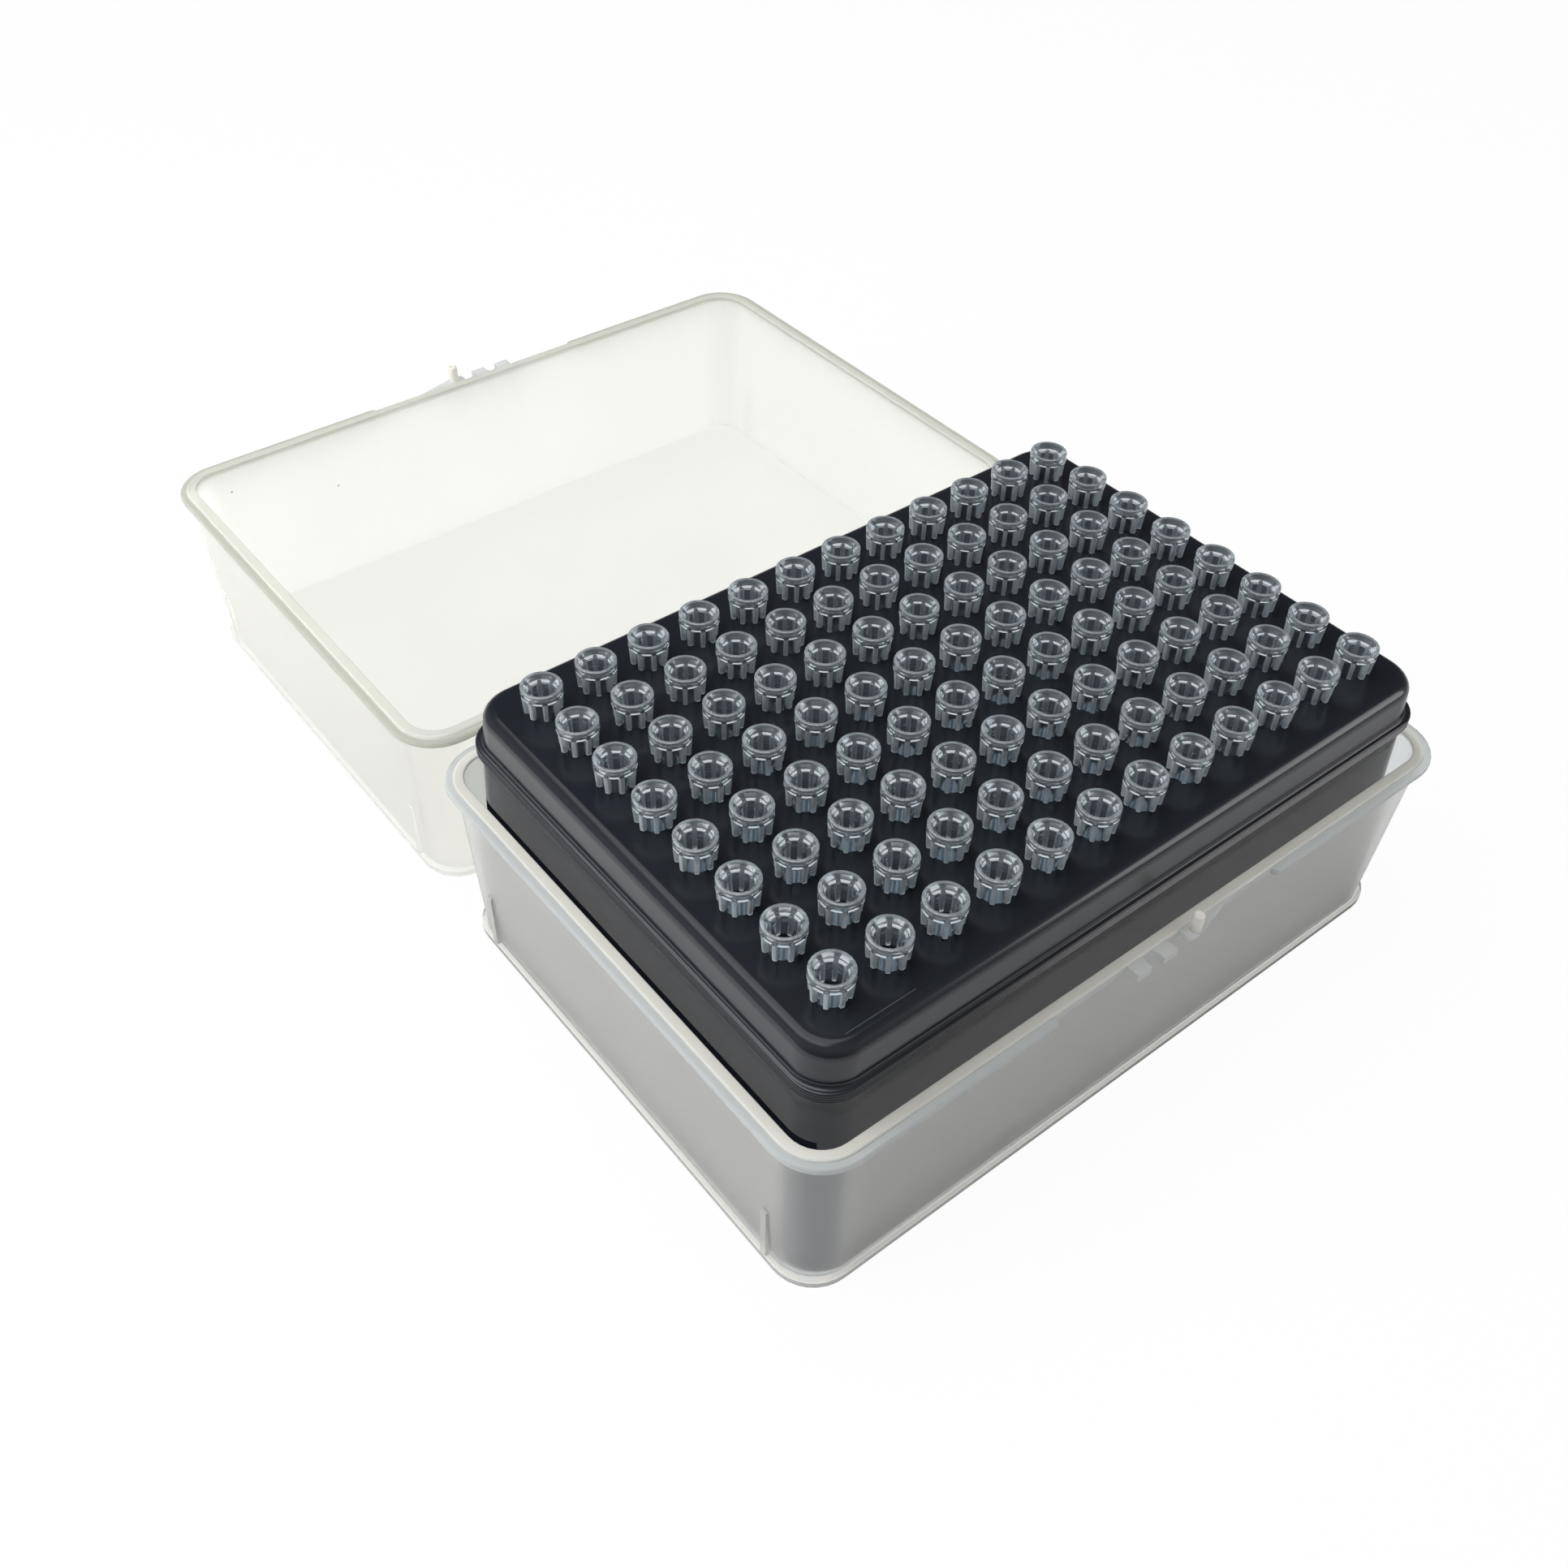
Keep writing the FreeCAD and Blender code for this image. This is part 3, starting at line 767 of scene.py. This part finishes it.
def rackRings():
    top, foot, reach = rackHigh.z, rackLow.z, rack["ledgeReach"]
    ledgeTop = top - rack["band"]
    ledgeLow = ledgeTop - rack["ledge"]
    r = rack["edgeRound"]
    levels = arc(-r, top - r, r, 90, 0, 7)  # reach from the deck's edge, height
    levels.append((rack["bandDraft"] * rack["bandShare"], ledgeTop + rack["bandFoot"]))
    r = rack["cove"]
    levels += arc(rack["bandDraft"] + r, ledgeTop + r, r, 180, 270, 3)
    r = rack["ledgeRound"]
    levels += arc(reach - r, ledgeTop - r, r, 90, 0, 3)
    # fine grooves run round the ledge's side
    pitch = (rack["ledge"] - 2 * r) / rack["grooves"]
    for k in range(rack["grooves"]):
        z = ledgeTop - r - pitch * (k + 0.5)
        levels.append((reach, z + rack["grooveHalf"]))
        levels.append((reach - rack["grooveDepth"], z))
        levels.append((reach, z - rack["grooveHalf"]))
    levels += arc(reach - r, ledgeLow + r, r, 0, -90, 3)
    levels.append((rack["skirtTop"], ledgeLow))
    out, drop = rack["skirtKnee"]
    levels.append((rack["skirtTop"] + out, ledgeLow - drop))
    flare = rack["skirtFoot"] + rack["skirtFlare"]
    levels.append((flare, foot))
    levels.append((flare - rack["wall"], foot))
    levels.append((-rack["wall"], top - rack["deckThick"]))
    stops = {"front": [0.0], "back": [0.0]}
    rings = []
    for out, z in levels:
        corner = rack["deckCorner"] + min(out, 0.0) * rack["innerCorner"]
        loop = roundedLoop(rack["halfX"] + out, rack["halfY"] + out, corner, stops, rack["cornerSteps"])
        rings.append([(x, y, z) for x, y in loop])
    return rings


def startGrid(name, extras):
    # a tree with points on the grid of the tips; extras are the inputs that only this tree has
    tree = bpy.data.node_groups.new(name, "GeometryNodeTree")
    kinds = {
        "Geometry": "Geometry", "Columns": "Int", "Rows": "Int", "Length": "Float", "Width": "Float",
        "Height": "Float", **extras, "Material": "Material"}
    for label, kind in kinds.items():
        tree.interface.new_socket(label, in_out="INPUT", socket_type="NodeSocket" + kind)
    tree.interface.new_socket("Geometry", in_out="OUTPUT", socket_type="NodeSocketGeometry")
    given = tree.nodes.new("NodeGroupInput").outputs
    grid = addNode(tree, "GeometryNodeMeshGrid", {
        "Size X": given["Length"], "Size Y": given["Width"],
        "Vertices X": given["Columns"], "Vertices Y": given["Rows"]})
    lift = addNode(tree, "ShaderNodeCombineXYZ", {"Z": given["Height"]})
    points = addNode(tree, "GeometryNodeSetPosition", {
        "Geometry": grid.outputs["Mesh"], "Offset": lift.outputs[0]})
    return tree, given, points.outputs[0]


def endTree(tree, shape, material):
    paint = addNode(tree, "GeometryNodeSetMaterial", {"Geometry": shape, "Material": material})
    tree.links.new(paint.outputs[0], tree.nodes.new("NodeGroupOutput").inputs[0])
    return tree


def socketTree():
    # round holes cut through a deck
    tree, given, points = startGrid("sockets", {"Radius": "Float", "Depth": "Float"})
    drill = addNode(tree, "GeometryNodeMeshCylinder", {
        "Vertices": rack["socketSides"], "Radius": given["Radius"], "Depth": given["Depth"]})
    drills = addNode(tree, "GeometryNodeInstanceOnPoints", {
        "Points": points, "Instance": drill.outputs["Mesh"]})
    real = addNode(tree, "GeometryNodeRealizeInstances", {0: drills.outputs[0]})
    cut = addNode(tree, "GeometryNodeMeshBoolean", {
        "Mesh 1": given["Geometry"], "Mesh 2": real.outputs[0]}, operation="DIFFERENCE", solver="EXACT")
    return endTree(tree, cut.outputs["Mesh"], given["Material"])


def runTree(piece, tree, values):
    # a modifier's inputs are set by the socket's identifier
    change = piece.modifiers.new(tree.name, "NODES")
    change.node_group = tree
    for item in tree.interface.items_tree:
        if item.item_type == "SOCKET" and item.in_out == "INPUT" and item.name in values:
            change[item.identifier] = values[item.name]
    settle(piece)


blackGloss = {
    "colour": (0.010, 0.012, 0.017, 1.0),
    "roughness": 0.18,
    "smoother": 0.04,
    "rougher": 0.08,
    "ior": 1.5,
    "ripple": 55.0,
    "rippleDetail": 2.0,
    "rippleStrength": 0.05,
    "rippleDepth": 0.001,
    "sideShine": 0.5,
    "deckShine": 0.22,
    "deckFrom": 0.5,
    "deckTo": 0.05,
    "lineColour": (0.07, 0.075, 0.085, 1.0),
    "lineDrop": 0.3,
    "lineMiddle": (-46.5, -37.2),
    "lineHalf": (5.5, 0.055),
    # painted shade: the band of the skirt in the narrow gap at the left that loses its shine
    "gapShadeMiddle": 27.6,
    "gapShadeHalf": 1.15,
    "gapShadeSide": -56.5,
}


def blackMaterial():
    material, tree, output = newMaterial("black_gloss")
    spec, deck = blackGloss, rackHigh.z
    place = addNode(tree, "ShaderNodeTexCoord").outputs["Object"]
    x, y, z = addNode(tree, "ShaderNodeSeparateXYZ", {0: place}).outputs
    ripple = noise(tree, place, spec["ripple"], spec["rippleDetail"])
    rough = ranged(tree, ripple, spec["roughness"] - spec["smoother"], spec["roughness"] + spec["rougher"])
    # a short mould line runs along the front of the deck
    onDeck = maths(tree, "GREATER_THAN", z, (deck - spec["lineDrop"]) * mm)
    (middleX, middleY), (halfX, halfY) = spec["lineMiddle"], spec["lineHalf"]
    acrossLine = maths(tree, "COMPARE", x, middleX * mm, halfX * mm)
    alongLine = maths(tree, "COMPARE", y, middleY * mm, halfY * mm)
    line = maths(tree, "MULTIPLY", maths(tree, "MULTIPLY", onDeck, acrossLine), alongLine)
    colour = mixColours(tree, line, spec["colour"], spec["lineColour"])
    # the flat deck shines less than its rounded edge and the sides
    shine = ranged(
        tree, z, spec["sideShine"], spec["deckShine"],
        (deck - spec["deckFrom"]) * mm, (deck - spec["deckTo"]) * mm)
    # painted shade: the skirt loses its shine in a band low in the narrow gap at the left, where shade falls
    skirtShade = maths(tree, "COMPARE", z, spec["gapShadeMiddle"] * mm, spec["gapShadeHalf"] * mm)
    side = maths(tree, "LESS_THAN", x, spec["gapShadeSide"] * mm)
    unshaded = maths(tree, "SUBTRACT", 1.0, maths(tree, "MULTIPLY", skirtShade, side))
    shader = addNode(tree, "ShaderNodeBsdfPrincipled", {
        "Base Color": colour, "Roughness": rough, "IOR": spec["ior"],
        "Specular IOR Level": maths(tree, "MULTIPLY", shine, unshaded),
        "Normal": relief(tree, ripple, spec["rippleStrength"], spec["rippleDepth"])})
    tree.links.new(shader.outputs["BSDF"], output.inputs["Surface"])
    return material


columns = len(tipNodes)
gridLength = ((lastTipLow + lastTipHigh) / 2 - (tipLow + tipHigh) / 2).x
gridWidth = gridLength / (columns - 1) * (rack["rows"] - 1)
tipGrid = {"Columns": columns, "Rows": rack["rows"], "Length": gridLength * mm, "Width": gridWidth * mm}

rackPiece = asObject(skin(rackRings()), "rack_body")
runTree(rackPiece, socketTree(), {
    **tipGrid,
    "Height": (rackHigh.z - rack["deckThick"] / 2) * mm,
    "Radius": rack["socketRadius"] * mm,
    "Depth": rack["deckThick"] * 2 * mm,
    "Material": blackMaterial(),
})
smooth(rackPiece)
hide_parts("rack_insert")
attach(rackPiece, "base")
print("rack:", len(rackPiece.data.polygons), "faces")


# the tips; heights are counted from a tip's top, and the bore's and the ring's points are radius and height
tip = {
    "sides": 24,
    "outer": 3.0,
    "ring": 1.4,
    "collar": tipHigh.z - rackHigh.z,
    "tube": 2.12,
    "length": tipHigh.z - tipLow.z,
    "endOuter": 0.5,
    "endInner": 0.25,
    "throat": 1.5,
    "throatDrop": 0.6,
    "seat": (1.72, -2.62),
    "boreSteps": ((1.8, -2.54), (1.92, -1.9), (2.05, -1.28)),
    "stepDraft": 0.03,
    "stepHeight": 0.52,
    "ringTop": ((2.42, -0.1), (2.5, -0.01), (2.86, 0.0), (2.96, -0.04)),
    "topRound": 0.14,
    "ringRound": 0.08,
    "neck": 0.12,
    "neckHeight": 0.15,
    "tubeDraft": 0.06,
    "ribs": 8,
    "ribWidth": 0.7,
    "ribRound": 0.17,
    "ribFoot": 2.76,
    "ribTop": 0.25,
    "ribRoot": 0.35,
    "ribInset": 0.03,
    "ribRoom": 0.02,
    "ribBevel": 0.2,
    "seed": 4,
}


def tipProfile():
    # from the end of the bore up through its fine steps, over the ring and down the outside
    low, deck, ring = -tip["length"], -tip["collar"], -tip["ring"]
    levels = [(tip["endInner"], low), (tip["throat"], deck - tip["throatDrop"]), tip["seat"]]
    for radius, height in tip["boreSteps"]:
        levels += [(radius, height), (radius + tip["stepDraft"], height + tip["stepHeight"])]
    outer, edge = tip["outer"], tip["ringRound"]
    levels += [*tip["ringTop"], (outer, -tip["topRound"]), (outer, ring + edge), (outer - edge, ring)]
    tube = tip["tube"]
    levels += [(tube + tip["neck"], ring), (tube, ring - tip["neckHeight"]), (tube - tip["tubeDraft"], deck)]
    return levels + [(tip["endOuter"], low)]


def tipMesh():
    # one tip with its top at height zero: a turned body with ribs under its ring
    profile = tipProfile()
    rings = roundRings(profile + profile[:1], tip["sides"])
    piece = asObject(skin(rings, capped=False), "tips", scale=1.0)
    foot, top = tip["ribRoom"] - tip["collar"], tip["ribTop"] - tip["ring"]
    root, out, low = tip["tube"] - tip["ribRoot"], tip["outer"] - tip["ribInset"], tip["ribFoot"]
    bevel = tip["ribBevel"]
    outline = [(root, top), (out, top), (low, foot + bevel), (low - bevel, foot), (root, foot)]
    ribs = []
    for k in range(tip["ribs"]):
        rib = plate(outline, -tip["ribWidth"] / 2, tip["ribWidth"] / 2, "xzy", edge=tip["ribRound"])
        turn = Matrix.Rotation(math.tau * (k + 0.5) / tip["ribs"], 3, "Z")
        bmesh.ops.rotate(rib, matrix=turn, verts=rib.verts)
        ribs.append(asObject(rib, f"rib_{k}", scale=1.0))
    combine(piece, ribs)
    piece.data.transform(Matrix.Scale(mm, 4))
    return piece


def gridTree():
    # copies of one tip on the grid, each turned by chance about its own axis
    tree, given, points = startGrid("tip_grid", {"Seed": "Int"})
    spin = addNode(tree, "FunctionNodeRandomValue", {
        "Min": (0.0, 0.0, 0.0), "Max": (0.0, 0.0, math.tau), "Seed": given["Seed"]},
        data_type="FLOAT_VECTOR")
    turn = addNode(tree, "FunctionNodeEulerToRotation", {0: spin.outputs["Value"]})
    copies = addNode(tree, "GeometryNodeInstanceOnPoints", {
        "Points": points, "Instance": given["Geometry"], "Rotation": turn.outputs[0]})
    real = addNode(tree, "GeometryNodeRealizeInstances", {0: copies.outputs[0]})
    return endTree(tree, real.outputs[0], given["Material"])


# tint and see-through share: the flat ring and the ribs are milkier than the tube and the bore
clearLooks = {
    "flat": (0.72, 0.79, 0.83, 0.80),
    "ring": (0.65, 0.71, 0.75, 0.92),
    "rib": (0.80, 0.86, 0.90, 0.62),
    "tube": (0.64, 0.71, 0.77, 0.96),
}
clear = {
    "roughness": 0.10,
    "smoother": 0.03,
    "rougher": 0.05,
    "ior": 1.49,
    "haze": 260.0,
    "hazeDetail": 2.0,
    "flatDrop": 0.05,
    "ringDrop": 0.02,
    "pastTube": 0.1,
}


def paintTip(piece):
    colours = []
    for face in piece.data.polygons:
        centre = face.center / mm
        if centre.z > -clear["flatDrop"]:
            look = "flat"
        elif centre.z > -tip["ring"] - clear["ringDrop"]:
            look = "ring"
        else:
            outside = math.hypot(centre.x, centre.y) > tip["tube"] + clear["pastTube"]
            look = "rib" if outside else "tube"
        colours += clearLooks[look] * len(face.vertices)
    piece.data.attributes.new("look", "FLOAT_COLOR", "CORNER").data.foreach_set("color", colours)


def clearMaterial():
    material, tree, output = newMaterial("clear_plastic")
    place = addNode(tree, "ShaderNodeTexCoord").outputs["Object"]
    look = addNode(tree, "ShaderNodeAttribute", attribute_name="look")
    haze = noise(tree, place, clear["haze"], clear["hazeDetail"])
    rough = ranged(tree, haze, clear["roughness"] - clear["smoother"], clear["roughness"] + clear["rougher"])
    shader = addNode(tree, "ShaderNodeBsdfPrincipled", {
        "Base Color": look.outputs["Color"], "Roughness": rough, "IOR": clear["ior"],
        "Transmission Weight": look.outputs["Alpha"]})
    tree.links.new(shader.outputs["BSDF"], output.inputs["Surface"])
    return material


tipsPiece = tipMesh()
smooth(tipsPiece)
paintTip(tipsPiece)
runTree(tipsPiece, gridTree(), {
    **tipGrid,
    "Height": tipHigh.z * mm,
    "Seed": tip["seed"],
    "Material": clearMaterial(),
})
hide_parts(*tipNodes)
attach(tipsPiece, "base")
print("tips:", sum(len(face.vertices) - 2 for face in tipsPiece.data.polygons), "triangles")
